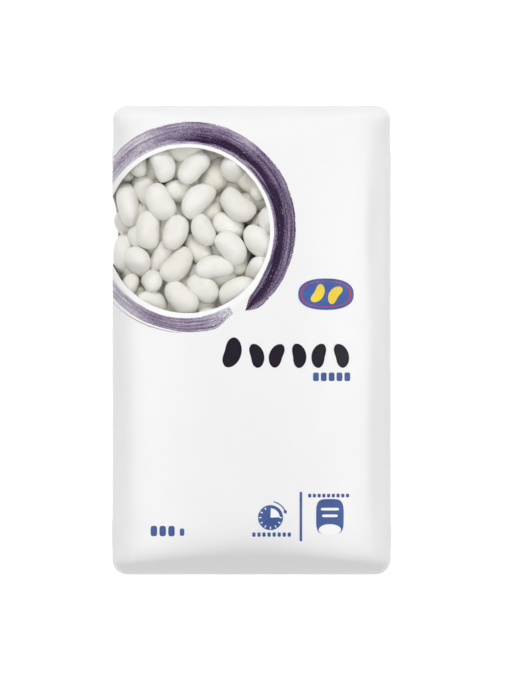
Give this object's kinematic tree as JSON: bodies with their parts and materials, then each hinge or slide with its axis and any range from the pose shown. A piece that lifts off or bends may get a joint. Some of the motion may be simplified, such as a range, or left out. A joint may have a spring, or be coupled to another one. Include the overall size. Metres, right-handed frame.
{
  "type": "bag of white beans",
  "caption": "Stuffed film bag of dried white beans, lying on its flat back, with folded end seals and a round clear window on its front.",
  "frame": {"origin": "on the table under the middle of the bag, which lies on its back panel", "axes": "+X to the right and +Y to the top of the bag as its front is read, +Z out of the front, up from the table"},
  "size_m": [0.13, 0.2194, 0.044],
  "materials": {
    "film": "white film, satin to glossy",
    "beans": "dried white beans, smooth skin with a slight sheen",
    "clear_film": "clear glossy film over the window",
    "print": "ink printed on the film, purple, blue and a little yellow and red"
  },
  "bodies": {
    "root": {"bag": "film", "beans": "beans"}
  },
  "joints": []
}
